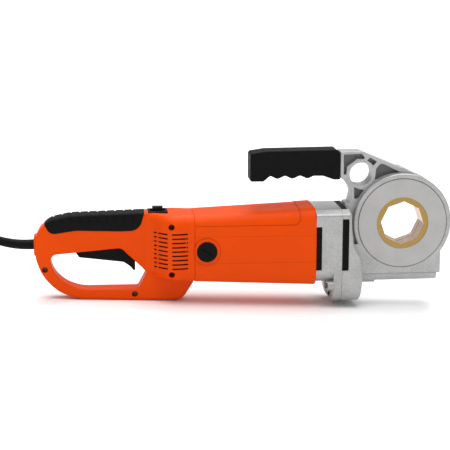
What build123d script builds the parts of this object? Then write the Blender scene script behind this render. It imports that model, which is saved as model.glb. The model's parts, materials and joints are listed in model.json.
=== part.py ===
"""Hand-held pipe threading machine: motor, two-stage spur gearing, worm drive and die-head socket.

Millimetres. Everything is modelled in the tool frame: X runs forward along the motor barrel towards
the die head, Y to the operator's left, Z up, with the barrel's axis at Y = 0, Z = 0. stand() then tips
the tool by REST_TILT and lifts it, so that the rear handle and the gear case's lug touch the floor at
Z = 0 and the machine, without its cord, is centred on X = 0, Y = 0.
"""

from build123d import *
from math import acos, atan2, cos, degrees, pi, radians, sin, tan
import os

# ---- how the tool rests --------------------------------------------------------------------------
REST_TILT = 2.4
REST_LIFT = 98.2
REST_SHIFT = 0.75

# ---- shafts and gearing --------------------------------------------------------------------------
MOTOR_Z = -2.0
MOTOR_MODULE = 1.0
MOTOR_PINION_TEETH = 10
MOTOR_GEAR_TEETH = 40
COUNTER_MODULE = 2.0
COUNTER_PINION_TEETH = 12
WORM_GEAR_TEETH = 46
WORM_MODULE = 2.5
WORM_STARTS = 2
WORM_PITCH_RADIUS = 12.5
WHEEL_TEETH = 46
BACKLASH = 0.16
WORM_BACKLASH = 0.36

COUNTER_Z = MOTOR_Z + MOTOR_MODULE * (MOTOR_PINION_TEETH + MOTOR_GEAR_TEETH) / 2
WORM_Z = COUNTER_Z - COUNTER_MODULE * (COUNTER_PINION_TEETH + WORM_GEAR_TEETH) / 2
WHEEL_PITCH_RADIUS = WORM_MODULE * WHEEL_TEETH / 2
HEAD_X = 267.0
HEAD_Z = WORM_Z + WORM_PITCH_RADIUS + WHEEL_PITCH_RADIUS
WORM_LEAD = pi * WORM_MODULE * WORM_STARTS

# ---- die head ------------------------------------------------------------------------------------
HEAD_RADIUS = 83.5
HEAD_HALF = 20.0
HEAD_FRONT = 28.0
COVER_RADIUS = 75.6
COVER_THICKNESS = 12.6
COVER_PROUD = 0.8
HUB_RADIUS = 43.8
OCTAGON_FLATS = 68.0
HUB_FRONT = -27.6
HUB_REAR = 17.6
WHEEL_HALF = 11.0
SHAFT_PLAY = 0.06

# ---- casings -------------------------------------------------------------------------------------
SEAM_X = -84.6
BARREL_FRONT = 117.0
CASE_SPLIT = 161.0
CASE_HALF = 52.0
CASE_TOP = 63.0
CASE_BOTTOM = -96.0
SHELL = 3.0
HANDLE_HALF = 17.5

nodes = {}


# ---- drawing helpers -----------------------------------------------------------------------------
def outline(corners):
    """A closed face in the X-Z plane from (x, z, corner radius) rows."""
    points = [(x, z) for x, z, _ in corners]
    radii = [r for _, _, r in corners]
    return make_face(Plane.XZ * FilletPolyline(*points, radius=radii, close=True))


def slab(corners, half, middle=0.0):
    """The outline as a plate of thickness 2 x half about Y = middle."""
    return Pos(0, middle, 0) * extrude(outline(corners), amount=half, both=True)


def block(x0, x1, y0, y1, z0, z1):
    size = (x1 - x0, y1 - y0, z1 - z0)
    return Pos((x0 + x1) / 2, (y0 + y1) / 2, (z0 + z1) / 2) * Box(*size)


def rod(x0, x1, radius, z=0.0, y=0.0):
    """A cylinder along X."""
    return Pos((x0 + x1) / 2, y, z) * Rot(0, 90, 0) * Cylinder(radius, x1 - x0)


def pin(x, z, radius, y0, y1):
    """A cylinder along Y."""
    return Pos(x, (y0 + y1) / 2, z) * Rot(90, 0, 0) * Cylinder(radius, y1 - y0)


def tube(x0, x1, outer, inner, z=0.0, y=0.0):
    return rod(x0, x1, outer, z, y) - rod(x0 - 1, x1 + 1, inner, z, y)


def ring(x, z, outer, inner, y0, y1):
    return pin(x, z, outer, y0, y1) - pin(x, z, inner, y0 - 1, y1 + 1)


def section(x, points):
    """A face across X from (y, z, corner radius) rows."""
    plane = Plane(origin=(x, 0, 0), x_dir=(0, 1, 0), z_dir=(1, 0, 0))
    radii = [r for _, _, r in points]
    return make_face(plane * FilletPolyline(*[(y, z) for y, z, _ in points], radius=radii, close=True))


def push(face, length):
    """A face across X drawn out forward."""
    return extrude(face, amount=length, dir=(1, 0, 0))


def rounded_section(x, half, low, high, radius):
    corners = [(-half, low), (-half, high), (half, high), (half, low)]
    return section(x, [(y, z, radius) for y, z in corners])


def soften(shape, edges, radius):
    """Fillet the edges, or leave the shape if the kernel can't round them."""
    try:
        rounded = fillet(edges, radius)
    except ValueError:
        print("left sharp at radius", radius)
        return shape
    return rounded if rounded.is_valid else shape


def side_edges(shape):
    """The edges of the two faces that look along -Y and +Y."""
    faces = shape.faces().sort_by(Axis.Y)
    return faces[0].edges() + faces[-1].edges()


# ---- gearing helpers -----------------------------------------------------------------------------
def gear_points(teeth, module, addendum, backlash):
    """Corner points of an involute gear, the first tooth pointing along +x."""
    pitch = module * teeth / 2
    base = pitch * cos(radians(20))
    tip = pitch + addendum * module
    root = pitch - 1.25 * module
    half_tooth = (pi * module / 2 - backlash / 2) / 2 / pitch
    roll = tan(radians(20)) - radians(20)

    def flank_angle(radius):
        pressure = acos(min(1.0, base / radius))
        return half_tooth + roll - (tan(pressure) - pressure)

    start = max(base, root + 0.05 * module)
    steps = 4
    radii = [start + (tip - start) * i / steps for i in range(steps + 1)]
    points = []
    for tooth in range(teeth):
        middle = 2 * pi * tooth / teeth
        rising = [(root, -flank_angle(start))] + [(r, -flank_angle(r)) for r in radii]
        falling = [(r, flank_angle(r)) for r in reversed(radii)] + [(root, flank_angle(start))]
        points += [(r * cos(middle + a), r * sin(middle + a)) for r, a in rising + falling]
    return points


def gear_along_x(x0, x1, z, teeth, module, addendum, turn):
    """A spur gear about X; turn is the angle in degrees from +Z to its first tooth."""
    plane = Plane(origin=(x0, 0, z), x_dir=(0, 0, 1), z_dir=(1, 0, 0))
    face = make_face(Polyline(*gear_points(teeth, module, addendum, BACKLASH), close=True))
    return push(plane * Rot(0, 0, turn) * face, x1 - x0)


def bearing(x0, x1, z, bore, outer):
    """A sealed ball bearing as its outer ring, inner ring and two seals."""
    wall = (outer - bore) * 0.28
    rings = [tube(x0, x1, outer, outer - wall, z), tube(x0, x1, bore + wall, bore, z)]
    seals = [tube(x, x + 0.8, outer - wall, bore + wall, z) for x in (x0 + 0.3, x1 - 1.1)]
    return rings + seals


def group(name, solids):
    nodes[name] = Compound(children=[s for part in solids for s in part.solids()])


def floor_z(x):
    """Height in the tool frame of the surface that the tool rests on."""
    return (-REST_LIFT - x * sin(radians(REST_TILT))) / cos(radians(REST_TILT))


def stand(shape):
    """From the tool frame to the resting frame."""
    return Pos(REST_SHIFT, 0, REST_LIFT) * Rot(0, -REST_TILT, 0) * shape


# ---- rear housing --------------------------------------------------------------------------------
HANDLE = [
    (SEAM_X, floor_z(SEAM_X) + 34, 0),
    (-105.5, floor_z(-105.5) + 0.5, 24),
    (-280, floor_z(-280), 80),
    (-312.5, -72.8, 75),
    (-337, -46.5, 75),
    (-348.5, -14, 70),
    (-348.0, 18, 20),
    (-340, 34.5, 30),
    (-322, 49.8, 30),
    (-290, 56.8, 100),
    (-150, 60.0, 0),
    (SEAM_X, 50, 0),
]
OPENING = [
    (-325.5, -10.2, 11),
    (-206, -0.4, 14),
    (-163.2, -42.5, 4),
    (-178, -70.2, 4),
    (-272, -69.6, 70),
    (-297, -60.3, 55),
    (-317.5, -41, 45),
]
GRIP = [
    (-332.5, 43.5, 0),
    (-322.5, 25.6, 13),
    (-280, 31.4, 60),
    (-206, 28.7, 30),
    (-175.5, 29.4, 20),
    (-166.5, 60, 0),
    (-166.5, 80, 0),
    (-345, 80, 0),
]
TAIL = [
    (SEAM_X, 50.0, -56.0, 56.5, 22),
    (-106, 49.6, -54.8, 57.0, 21),
    (-127, 48.0, -52.6, 57.4, 19),
    (-141, 36.5, -50.0, 57.8, 15),
    (-154, 23.0, -47.0, 58.2, 11),
    (-170, 16.8, -43.0, 58.4, 8),
]
HANDLE_WALL = 5.2
GRIP_DEPTH = 2.4
GRIP_PROUD = 0.7
RIB_COUNT = 10
RIB_START = -318.0
RIB_PITCH = 14.6
RIB_HEIGHT = 1.2
RIB_LOW = 44.0
GROOVE_WIDTH = 2.6
VENT_ROWS = 9
VENT_PITCH = 7.25
VENT_TOP = 27.6
VENT_HEIGHT = 2.7
VENT_SPANS = [(-151.5, -147.0), (-144.5, -130.0), (-122.8, -96.6)]
HANDLE_SCREWS = [(-332.5, -34.3, 6.0), (-184.1, -79.3, 6.0), (-123.5, 39.6, 27.0), (-123.5, -40.5, 27.0)]
SEAM_GAP = 1.0
SEAM_DEPTH = 1.3
RECESS_RADIUS = 5.2
SCREW_HEAD = 3.0
SCREW_HEAD_RADIUS = 3.8
SCREW_RADIUS = 2.05
SCREW_END = 11.5
CORD_Z = 6.4
CORD_TUNNEL = 8.7


def tail_body(inset):
    """The wide body behind the motor barrel, flared out of the narrow handle."""
    faces = [
        rounded_section(x, half - inset, low + inset, high - inset, radius - 0.6 * inset)
        for x, half, low, high, radius in TAIL
    ]
    return loft(faces)


def handle_body():
    handle = slab(HANDLE, HANDLE_HALF)
    handle = soften(handle, side_edges(handle), 6)
    handle -= slab(OPENING, 2 * HANDLE_HALF)
    side_faces = handle.faces().sort_by(Axis.Y)
    rims = side_faces[0].inner_wires()[0].edges() + side_faces[-1].inner_wires()[0].edges()
    return soften(handle, rims, 3.5)


def handle_core(depth, radius):
    """The handle's outer form, drawn in by depth (or swollen where depth is negative)."""
    face = offset(outline(HANDLE), amount=-depth)
    core = extrude(face, amount=HANDLE_HALF - depth, both=True)
    return soften(core, side_edges(core), radius)


def hollow():
    """The space inside both halves of the rear housing."""
    inner = extrude(offset(outline(HANDLE), amount=-HANDLE_WALL), amount=HANDLE_HALF - SHELL, both=True)
    inner &= block(-400, SEAM_X - 12, -40, 40, -200, 200)
    inner += tail_body(SHELL)
    return inner - extrude(offset(outline(OPENING), amount=HANDLE_WALL), amount=CASE_HALF, both=True)


def vents():
    cuts = []
    for row in range(VENT_ROWS):
        z = VENT_TOP - VENT_PITCH * row
        for x0, x1 in VENT_SPANS:
            cuts.append(block(x0, x1, 9, 70, z - VENT_HEIGHT / 2, z + VENT_HEIGHT / 2))
    return cuts + [mirror(cut, Plane.XZ) for cut in cuts]


def rear_housing():
    collar = slab([(-349.8, -10, 3), (-349.8, 21.5, 3), (-338, 24, 0), (-338, -12, 0)], 12.5)
    form = handle_body() + tail_body(0) + collar
    form -= slab(OPENING, CASE_HALF)
    form -= block(SEAM_X - SEAM_GAP, SEAM_X + 1, -60, 60, -100, 80) - tail_body(SEAM_DEPTH)
    skin = slab(GRIP, 40) - handle_core(GRIP_DEPTH, 4.5)
    housing = form - skin - hollow()
    for x, z, depth in HANDLE_SCREWS:
        reach = HANDLE_HALF - 2 if depth < 20 else CASE_HALF - 4.5
        housing += pin(x, z, RECESS_RADIUS + 2.2, -reach, reach)
    housing += block(-346, -318, -15, 15, CORD_Z - 14, CORD_Z + 14) & handle_core(1.5, 4.5)
    for x, z, depth in HANDLE_SCREWS:
        seat = -depth
        housing -= pin(x, z, RECESS_RADIUS, -CASE_HALF - 5, seat)
        housing -= pin(x, z, SCREW_RADIUS + 0.05, seat - 1, SCREW_END + 0.5)
    housing -= rod(-360, -326, CORD_TUNNEL, CORD_Z)
    housing -= rod(-330, -310, 5.4, CORD_Z)
    housing -= block(-285, -171.5, -TRIGGER_SLOT, TRIGGER_SLOT, -46, 27)
    housing -= pin(*TRIGGER_PIN, PIN_RADIUS, -PIN_HALF, PIN_HALF)
    housing -= block(*BEZEL_X, -BEZEL_HALF, BEZEL_HALF, BEZEL_BASE, 80)
    for cut in vents():
        housing -= cut
    right = housing & block(-400, 0, -100, 0, -200, 200)
    left = housing & block(-400, 0, 0, 100, -200, 200)
    group("rear_housing_right", [max(right.solids(), key=lambda s: s.volume)])
    group("rear_housing_left", [max(left.solids(), key=lambda s: s.volume)])
    grip = handle_core(-GRIP_PROUD, 6.7) & slab(GRIP, 40)
    grip -= handle_core(GRIP_DEPTH, 4.5)
    groove_floor = handle_core(RIB_HEIGHT - GRIP_PROUD, 6.0)
    for i in range(RIB_COUNT):
        x = RIB_START + RIB_PITCH * i
        grip -= block(x, x + GROOVE_WIDTH, -40, 40, RIB_LOW, 80) - groove_floor
    group("grip_cover", [max(grip.solids(), key=lambda s: s.volume)])
    screws = []
    for x, z, depth in HANDLE_SCREWS:
        drive = (-depth - SCREW_HEAD - 1, -depth - SCREW_HEAD / 2)
        head = pin(x, z, SCREW_HEAD_RADIUS, -depth - SCREW_HEAD, -depth)
        head -= block(x - 3, x + 3, *drive, z - 0.5, z + 0.5) + block(x - 0.5, x + 0.5, *drive, z - 3, z + 3)
        screws.append(head + pin(x, z, SCREW_RADIUS, -depth, SCREW_END))
    group("handle_screws", screws)


# ---- switches in the handle ----------------------------------------------------------------------
TRIGGER_HALF = 8.0
TRIGGER_SLOT = 8.5
TRIGGER_PIN = (-275.5, -0.5)
TRIGGER = [
    (-281.5, -7.6, 1.5),
    (-275.7, -16.4, 3),
    (-201.9, -25.9, 12),
    (-191.0, -33.6, 10),
    (-184.8, -41.0, 0.8),
    (-182.4, -39.5, 0.8),
    (-182.6, 6, 3),
    (-202, 11, 3),
    (-268, 6, 3),
    (-281.5, 6, 4),
]
PIN_RADIUS = 2.0
PIN_HALF = 15.5
PLUNGER_X = (-242.0, -234.0)
PLUNGER_TOP = 19.5
SPRING_PITCH = 1.3
SPRING_LENGTH = 6.5
SPRING_WIRE = 1.0
TRIGGER_SWITCH = (-262.0, -222.0, 25.6, 47.0)
BEZEL_X = (-160.5, -127.5)
BEZEL_HALF = 15.5
BEZEL_BASE = 52.5
BEZEL_TOP = 60.6
SLIDER_HALF = 8.5
SLIDER_TRAVEL = 4.0
SLIDER_X = -144.0
SLIDER_TOP = 66.4
SLIDER_SIDE = 8.0
SWITCH_TOP = 50.2


def trigger_and_switch():
    x, z = TRIGGER_PIN
    trigger = slab(TRIGGER, TRIGGER_HALF)
    trigger = soften(trigger, side_edges(trigger), 0.6)
    trigger += block(*PLUNGER_X, -4, 4, 5, PLUNGER_TOP)
    trigger -= pin(x, z, PIN_RADIUS + SHAFT_PLAY, -20, 20)
    trigger -= block(-283, -268.5, -4.2, 4.2, -7.5, 8)
    group("trigger", [trigger])
    group("trigger_pin", [pin(x, z, PIN_RADIUS, -PIN_HALF, PIN_HALF)])
    coil = Helix(pitch=SPRING_PITCH, height=SPRING_LENGTH, radius=PIN_RADIUS + 0.75, direction=(0, 1, 0))
    start = Plane(origin=coil @ 0, z_dir=coil % 0)
    spring = sweep(start * Circle(SPRING_WIRE / 2), path=coil, is_frenet=True)
    group("trigger_spring", [Pos(x, -SPRING_LENGTH / 2, z) * spring])
    x0, x1, z0, z1 = TRIGGER_SWITCH
    switch = block(x0, x1, -11.5, 11.5, z0, z1)
    switch = soften(switch, switch.edges(), 1.2)
    terminals = [block(x0 + 4 + 12 * i, x0 + 8 + 12 * i, -3, 3, z1, z1 + 3) for i in range(3)]
    group("trigger_switch", [switch] + terminals)


def reversing():
    """The reversing slider in its bezel on top of the housing, and the switch under it."""
    bezel = block(*BEZEL_X, -BEZEL_HALF, BEZEL_HALF, BEZEL_BASE, BEZEL_TOP)
    bezel = soften(bezel, bezel.edges().group_by(Axis.Z)[-1], 1.5)
    slot = SLIDER_HALF + SLIDER_TRAVEL + 0.3
    slot_side = SLIDER_SIDE + 0.3
    bezel -= block(SLIDER_X - slot, SLIDER_X + slot, -slot_side, slot_side, BEZEL_BASE - 1, BEZEL_TOP + 1)
    group("reversing_bezel", [bezel])
    ends = (SLIDER_X - SLIDER_HALF, SLIDER_X + SLIDER_HALF)
    slider = block(*ends, -SLIDER_SIDE, SLIDER_SIDE, SWITCH_TOP + 0.3, SLIDER_TOP)
    for i in range(5):
        groove = SLIDER_X - 6 + 3 * i
        slider -= block(groove - 0.5, groove + 0.5, -9, 9, SLIDER_TOP - 0.7, SLIDER_TOP + 1)
    group("reversing_slider", [slider])
    group("reversing_switch", [block(-164, -132, -13, 13, SWITCH_TOP - 16.2, SWITCH_TOP)])


# ---- motor ---------------------------------------------------------------------------------------
BARREL = [(SEAM_X, 50.0, 56.5, 21), (BARREL_FRONT, 54.0, 66.0, 23)]
BARREL_DROP = 1.6
BARREL_BAND = 22.5
BARREL_WALL = 3.4
PANEL_STEP = 0.9
PANEL_END = 90.0
PANEL_EDGE = 40.5
BRUSH_X = -65.3
CAP_RADIUS = 16.7
CAP_FACE = 53.2
BOSS_RADIUS = 22.5
BOSS_FACE = 51.6
CAP_SEAT = 49.0
BRUSH_BORE = 11.0
BRUSH_HALF = 5.0
SLEEVE_RADIUS = 14.5

SHAFT_RADIUS = 6.0
JOURNAL_RADIUS = 4.0
STATOR_RADIUS = 46.0
STATOR_BORE = 27.2
ROTOR_RADIUS = 26.6
IRON = (-34.0, 46.0)
COIL_OVERHANG = 14.0
COMMUTATOR = (-79.0, -52.0, 17.0)
COMMUTATOR_BARS = 24
FAN = (70.0, 86.0, 42.0)
FAN_BLADES = 12
REAR_BEARING = (-92.5, -85.5, 11.0)
FRONT_BEARING = (103.0, 113.0, 16.0)
PINION_START = 120.0
PINION_END = 137.0


def barrel_section(x, half, high, radius, inset):
    band, drop = BARREL_BAND, BARREL_DROP
    w, h, r = half - inset, high - inset, radius - 0.6 * inset
    right = [(w, -band, 0), (w, band, 0), (w - drop, h, r)]
    rows = [(-w + drop, h, r), (-w, band, 0), (-w, -band, 0), (-w + drop, -h, r)]
    return section(x, right + rows + [(w - drop, -h, r)])


def barrel_form(rear_inset, front_inset):
    rear, front = BARREL
    return loft([barrel_section(*rear, rear_inset), barrel_section(*front, front_inset)], ruled=True)


def sides(near, far):
    """The two spans of Y from near to far, one on each side of the middle plane."""
    return [(-far, -near), (near, far)]


def about_motor(angle, shape):
    """A shape modelled about the X axis, turned and moved to the motor's axis."""
    return Pos(0, 0, MOTOR_Z) * Rot(angle, 0, 0) * shape


def motor_housing():
    """The barrel, with a panel set down into its top, brush bosses and ribs that hold the stator."""
    full = barrel_form(0, 0)
    lowered = barrel_form(0, PANEL_STEP)
    left, right, edge, high = SEAM_X - 40, PANEL_END, PANEL_EDGE, 2 * CASE_TOP
    panel = slab([(left, edge, 0), (right, edge, 11), (right, high, 0), (left, high, 0)], 2 * CASE_HALF)
    form = (full - panel) + lowered
    for y0, y1 in sides(CAP_SEAT - 9, BOSS_FACE):
        form += pin(BRUSH_X, MOTOR_Z, BOSS_RADIUS, y0, y1) & block(SEAM_X, 0, -60, 60, -60, 60)
    form = soften(form, form.faces().sort_by(Axis.X)[-1].edges(), 2.0)
    housing = form - barrel_form(BARREL_WALL, BARREL_WALL + 0.4)

    bridge = rod(SEAM_X, SEAM_X + 4, 48, MOTOR_Z) & barrel_form(BARREL_WALL - 1, BARREL_WALL)
    for spoke in range(6):
        bridge -= about_motor(60 * spoke, rod(SEAM_X - 1, SEAM_X + 5, 9, 31))
    rear0, rear1, rear_radius = REAR_BEARING
    housing += bridge + rod(rear0 - 3.5, SEAM_X, rear_radius + 4, MOTOR_Z)
    housing -= rod(rear0 - 1.5, SEAM_X + 5, rear_radius, MOTOR_Z)

    iron0, iron1 = IRON
    ribs = block(iron0, iron1, -60, 60, MOTOR_Z - 5, MOTOR_Z + 5) + block(iron0, iron1, -5, 5, -70, 70)
    housing += (ribs & lowered) - rod(iron0 - 1, iron1 + 1, STATOR_RADIUS, MOTOR_Z)
    for y0, y1 in sides(30, CAP_SEAT + 2):
        housing += pin(BRUSH_X, MOTOR_Z, SLEEVE_RADIUS, y0, y1)
    for y0, y1 in sides(22, 60):
        housing -= pin(BRUSH_X, MOTOR_Z, BRUSH_BORE, y0, y1)
    for y0, y1 in sides(CAP_SEAT, 60):
        housing -= pin(BRUSH_X, MOTOR_Z, CAP_RADIUS + 0.15, y0, y1)
    group("motor_housing", [max(housing.solids(), key=lambda s: s.volume)])


def brush_gear():
    """Screwed caps, brass holders and the carbon brushes that they press on the commutator."""
    caps, holders, brushes = [], [], []
    stem = BRUSH_BORE - 0.1
    for (face0, face1), (slot0, slot1) in zip(sides(CAP_SEAT, CAP_FACE), sides(CAP_FACE - 1.6, CAP_FACE + 1)):
        cap = pin(BRUSH_X, MOTOR_Z, CAP_RADIUS, face0, face1)
        cap -= Pos(BRUSH_X, 0, MOTOR_Z) * Rot(0, 35, 0) * block(-9, 9, slot0, slot1, -1.1, 1.1)
        caps.append(cap)
    for i, (y0, y1) in enumerate(sides(42.0, CAP_SEAT)):
        caps[i] += pin(BRUSH_X, MOTOR_Z, stem, y0, y1)
    window = (BRUSH_X - BRUSH_HALF, BRUSH_X + BRUSH_HALF)
    for y0, y1 in sides(20.0, 41.8):
        holder = pin(BRUSH_X, MOTOR_Z, stem, y0, y1)
        holders.append(holder - block(*window, y0 - 1, y1 + 1, MOTOR_Z - 4, MOTOR_Z + 4))
    for y0, y1 in sides(COMMUTATOR[2] + 0.3, 36.0):
        brushes.append(block(window[0] + 0.1, window[1] - 0.1, y0, y1, MOTOR_Z - 3.9, MOTOR_Z + 3.9))
    group("brush_caps", caps)
    group("brush_holders", holders)
    group("carbon_brushes", brushes)


def motor():
    iron0, iron1 = IRON
    group("stator_core", [tube(iron0, iron1, STATOR_RADIUS, STATOR_BORE, MOTOR_Z)])
    ends = [(iron0 - COIL_OVERHANG, iron0), (iron1, iron1 + COIL_OVERHANG)]
    group("field_coils", [tube(x0, x1, 42, 30, MOTOR_Z) for x0, x1 in ends])
    group("armature_windings", [tube(x0, x1, 22, SHAFT_RADIUS, MOTOR_Z) for x0, x1 in ends])

    rear0, rear1, rear_radius = REAR_BEARING
    shaft = rod(rear0 - 1, PINION_START + 1, SHAFT_RADIUS, MOTOR_Z)
    shaft += gear_along_x(PINION_START, PINION_END, MOTOR_Z, MOTOR_PINION_TEETH, MOTOR_MODULE, 0.9, 0)
    shaft -= tube(rear0 - 8, rear1, 12, JOURNAL_RADIUS, MOTOR_Z)
    group("armature_shaft", [shaft])
    core = tube(iron0, iron1, ROTOR_RADIUS, SHAFT_RADIUS, MOTOR_Z)
    for slot in range(12):
        core -= about_motor(30 * slot, block(iron0 - 1, iron1 + 1, -1.2, 1.2, 24, 28))
    group("armature_core", [core])
    bar0, bar1, bar_radius = COMMUTATOR
    commutator = tube(bar0, bar1, bar_radius, SHAFT_RADIUS, MOTOR_Z)
    for bar in range(COMMUTATOR_BARS):
        cut = block(bar0 - 1, bar1 - 1, -0.3, 0.3, bar_radius - 1.2, bar_radius + 1)
        commutator -= about_motor(360 * bar / COMMUTATOR_BARS, cut)
    group("commutator", [commutator])
    fan0, fan1, fan_radius = FAN
    fan = tube(fan0, fan1, 12, SHAFT_RADIUS, MOTOR_Z)
    fan += tube(fan1 - 2, fan1, fan_radius, SHAFT_RADIUS, MOTOR_Z)
    for blade in range(FAN_BLADES):
        vane = block(fan0 + 2, fan1 - 1.5, -0.9, 0.9, 11, fan_radius - 0.5)
        fan += about_motor(360 * blade / FAN_BLADES, vane)
    group("cooling_fan", [fan])
    group("motor_rear_bearing", bearing(rear0, rear1, MOTOR_Z, JOURNAL_RADIUS + SHAFT_PLAY, rear_radius))
    front0, front1, front_radius = FRONT_BEARING
    group("motor_front_bearing", bearing(front0, front1, MOTOR_Z, SHAFT_RADIUS + SHAFT_PLAY, front_radius))


# ---- gear case and head casting ------------------------------------------------------------------
CHAMFER_Y = 37.0
CHAMFER_Z = 55.5
FLANGE_X = 147.0
BOLT_PLACES = [(-43, 53), (43, 53), (-45.5, -66), (45.5, -66)]
BOLT_RADIUS = 2.5
GASKET = 0.6
GEAR_CAVITY = 49.5
GEAR_SPACE_START = 119.5
GEAR_SPACE_END = 172.0
CASE_WALL = 176.0
WORM_SHOULDER = 185.0
WORM_BORE = 16.0
PLUG_SEAT = 15.0
COUNTER_REAR = (115.6, 119.5)
COUNTER_FRONT = (171.8, 177.4)
COUNTER_BORE = 9.5
WHEEL_SPACE = 61.0
WASHER = 2.0
OUTLET = (117.5, 126.5, -38.0, 36.0)
OUTLET_DEPTH = 48.5
INSERT_X = (161.0, 172.0)
INSERT_Z = (-39.6, 48.4)
INSERT_DEPTH = 1.4
INSERT_BACK = 48.0
NECK_HALF = 16.5
ARM_HALF = 16.5
HOLE_X = 197.0
HOLE_Z = 117.6
HOLE_RADIUS = 19.6
HOLE_BOSS = 24.4
CASE_SIDE = [
    (CASE_SPLIT, 70, 0),
    (176.8, 70, 0),
    (177.4, 31, 30),
    (180.5, 6, 30),
    (194.5, -22, 30),
    (196.3, -60, 60),
    (193.0, -93, 10),
    (189, -101, 0),
    (CASE_SPLIT, -101, 0),
]
BLOCK_LEFT = 185.0
BLOCK_RIGHT = 333.8
TUBE_END = 329.5
BOSS_END = 335.6
COLLAR_END = 223.0
BLOCK_BOTTOM = -52.0
TUBE_BOTTOM = -66.8
TUBE_HALF = 22.5
COLLAR_BOTTOM = -69.8
COLLAR_HALF = 24.0
ARM = [
    (161.6, 155.8, 1.5),
    (196, 155.8, 8),
    (262.5, 127.5, 0),
    (266.0, 128.2, 3),
    (307.5, 107.0, 3),
    (300, 60, 0),
    (215, 30, 0),
    (175, 60, 0),
    (178.5, 72, 10),
    (182.2, 88.5, 22),
    (172.8, 103.5, 30),
    (161.6, 112.5, 4),
]
POCKETS = [
    [
        (166.9, 151.2, 2),
        (197.5, 152.2, 3),
        (205, 143, 2),
        (190, 143.5, 0),
        (173.5, 131, 0),
        (171.6, 117.0, 1.5),
        (167.4, 117.0, 1.5),
    ],
    [(206.8, 140.6, 1.5), (211.6, 145.8, 1.5), (223.8, 138.2, 1.5), (216.8, 131.0, 1.5)],
    [
        (220.2, 107.2, 1.5),
        (222.4, 126.5, 2),
        (229.5, 134.9, 3),
        (236.0, 134.0, 3),
        (265.5, 119.0, 1.5),
        (240, 113.5, 0),
    ],
    [(185.4, 98.2, 1.5), (192.5, 92.6, 1), (203, 90.8, 1.5), (196.0, 76.0, 1.5), (185.8, 76.0, 1.5)],
]
POCKET_DEPTH = 9.0
ARM_FACE = 161.6
STUD_END = 178.0
STUD_RADIUS = 5.0
STUD_Z = 136.0


def case_section(x, high=CASE_TOP, low=CASE_BOTTOM, half=CASE_HALF, radius=26):
    drop = high - CHAMFER_Z
    top = [(-half, high - drop, 5), (-CHAMFER_Y, high, 5), (CHAMFER_Y, high, 5), (half, high - drop, 5)]
    return section(x, top + [(half, low, radius), (-half, low, radius)])


def case_prism(x0, x1, **sizes):
    return push(case_section(x0, **sizes), x1 - x0)


def gear_space(x0, x1):
    """The space inside the gear case, with the round lobe for the big gear in it."""
    upper = push(rounded_section(x0, 43, -52, 55, 18), x1 - x0)
    return upper + rod(max(x0, 151), x1, GEAR_CAVITY, WORM_Z)


def bolts_through(shape, x0, x1):
    for y, z in BOLT_PLACES:
        shape -= rod(x0, x1, BOLT_RADIUS + 0.05, z, y)
    return shape


def gearcase_rear():
    body = case_prism(BARREL_FRONT, FLANGE_X + 8, low=-60.5, radius=22)
    spigot = push(rounded_section(104, 47.5, -58, 58, 20), 14)
    flange = case_prism(FLANGE_X, CASE_SPLIT - GASKET)
    case = body + spigot + flange
    for y, z in BOLT_PLACES[2:]:
        case += rod(137, FLANGE_X + 1, 8.0, z, y)
    web = slab([
        (136, -55, 0),
        (137.5, -74, 12),
        (142.0, -90, 10),
        (153.0, -101, 3),
        (154.0, floor_z(154.0), 1.5),
        (CASE_SPLIT - GASKET, floor_z(CASE_SPLIT - GASKET), 1.5),
        (CASE_SPLIT - GASKET, -60, 0),
    ], 13)
    eye = slab([(143.5, -84, 2), (149, -84, 2), (149, -95, 2), (144.5, -90, 2)], 20)
    case += web - eye
    case -= gear_space(GEAR_SPACE_START, CASE_SPLIT + 1)
    seat0, seat1, seat_radius = FRONT_BEARING
    case -= push(rounded_section(seat0, 44, -54, 54, 17), 10.5) - rod(100, 119, seat_radius + 5, MOTOR_Z)
    case += rod(seat0, GEAR_SPACE_START, seat_radius + 4, MOTOR_Z)
    case -= rod(seat0 - 0.1, seat1 + 0.1, seat_radius, MOTOR_Z) + rod(seat1 - 3, 125, 9, MOTOR_Z)
    case -= rod(COUNTER_REAR[0] - 0.1, COUNTER_REAR[1] + 0.5, COUNTER_BORE, COUNTER_Z)
    x0, x1, z0, z1 = OUTLET
    for y0, y1 in sides(OUTLET_DEPTH, 60):
        case -= block(x0 - 0.5, x1, y0, y1, z0, z1)
    case = bolts_through(case, 100, 170)
    group("gearcase_rear", [max(case.solids(), key=lambda s: s.volume)])

    grilles = []
    for (y0, y1), (fin0, fin1) in zip(sides(OUTLET_DEPTH, 51.0), sides(51.0, CASE_HALF)):
        grille = block(x0 - 0.5, x1, y0, y1, z0, z1)
        for z in (z0 + 16, (z0 + z1) / 2, z1 - 16):
            grille += block(x0 - 0.5, x1 - 1, fin0, fin1, z - 1.2, z + 1.2)
        grilles.append(grille)
    group("outlet_grilles", grilles)


def head_arm():
    arm = slab(ARM, ARM_HALF)
    arm = soften(arm, side_edges(arm), 1.2)
    boss = pin(HOLE_X, HOLE_Z, HOLE_BOSS, -ARM_HALF - 0.8, ARM_HALF + 0.8)
    arm += boss & slab([(161.6, 60, 0), (161.6, 155.6, 0), (330, 155.6, 0), (330, 60, 0)], 40)
    for pocket in POCKETS:
        cutter = slab(pocket, POCKET_DEPTH / 2)
        cutter -= pin(HOLE_X, HOLE_Z, HOLE_BOSS, -40, 40)
        cutter -= pin(HEAD_X, HEAD_Z, HEAD_RADIUS + 1, -40, 40)
        for side in (-1, 1):
            arm -= Pos(0, side * (ARM_HALF - POCKET_DEPTH / 2 + 0.01), 0) * cutter
    arm -= rod(ARM_FACE - 1, STUD_END + 0.5, STUD_RADIUS + 0.05, STUD_Z)
    return arm - pin(HOLE_X, HOLE_Z, HOLE_RADIUS, -40, 40)


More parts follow.
